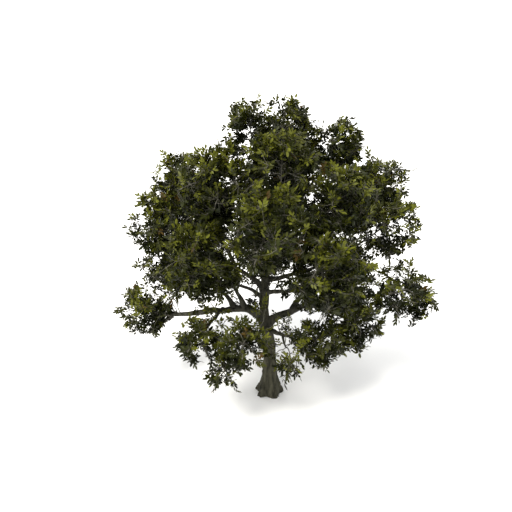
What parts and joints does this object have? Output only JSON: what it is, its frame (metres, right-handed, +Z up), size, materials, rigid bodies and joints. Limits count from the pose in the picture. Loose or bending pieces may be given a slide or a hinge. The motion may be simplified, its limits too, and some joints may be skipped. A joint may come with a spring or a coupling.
{
  "type": "oak tree",
  "caption": "Open-grown broadleaf oak in summer leaf: flared trunk, spreading boughs and a broad rounded crown of foliage masses, cut flat at the ground.",
  "frame": {"origin": "middle of the trunk's flat cut at ground level", "axes": "+Z up along the trunk, -Y towards the side that the picture shows, +X to the right as that side is seen"},
  "size_m": [10.0331, 9.2334, 9.8935],
  "materials": {
    "bark": "rough furrowed grey-brown bark",
    "foliage": "satin dark olive-green leaves"
  },
  "bodies": {
    "root": {"trunk": "bark", "bough_left_tip": "bark", "bough_right_tip": "bark", "bough_front_low": "bark", "bough_right_under": "bark", "bough_back_low": "bark", "bough_left_low": "bark", "bough_front_left": "bark", "bough_front_left_low": "bark", "bough_hang_left": "bark", "bough_hang_right": "bark", "bough_right_low": "bark", "bough_back_low_right": "bark", "bough_back_low_left": "bark", "bough_front_right": "bark", "bough_left_shoulder": "bark", "bough_upper_left": "bark", "bough_right_shoulder": "bark", "bough_back_left": "bark", "bough_back_right": "bark", "bough_mid_front": "bark", "bough_mid_right": "bark", "bough_upper_right": "bark", "bough_mid_left": "bark", "bough_back": "bark", "bough_top_left": "bark", "bough_top_right": "bark", "bough_top_front": "bark", "bough_top_back": "bark", "bough_top": "bark", "foliage_left_tip": "foliage", "foliage_right_tip": "foliage", "foliage_front_low": "foliage", "foliage_right_under": "foliage", "foliage_back_low": "foliage", "foliage_left_low": "foliage", "foliage_front_left": "foliage", "foliage_front_left_low": "foliage", "foliage_hang_left": "foliage", "foliage_hang_right": "foliage", "foliage_right_low": "foliage", "foliage_back_low_right": "foliage", "foliage_back_low_left": "foliage", "foliage_front_right": "foliage", "foliage_left_shoulder": "foliage", "foliage_upper_left": "foliage", "foliage_right_shoulder": "foliage", "foliage_back_left": "foliage", "foliage_back_right": "foliage", "foliage_mid_front": "foliage", "foliage_mid_right": "foliage", "foliage_upper_right": "foliage", "foliage_mid_left": "foliage", "foliage_back": "foliage", "foliage_top_left": "foliage", "foliage_top_right": "foliage", "foliage_top_front": "foliage", "foliage_top_back": "foliage", "foliage_top": "foliage"}
  },
  "joints": []
}
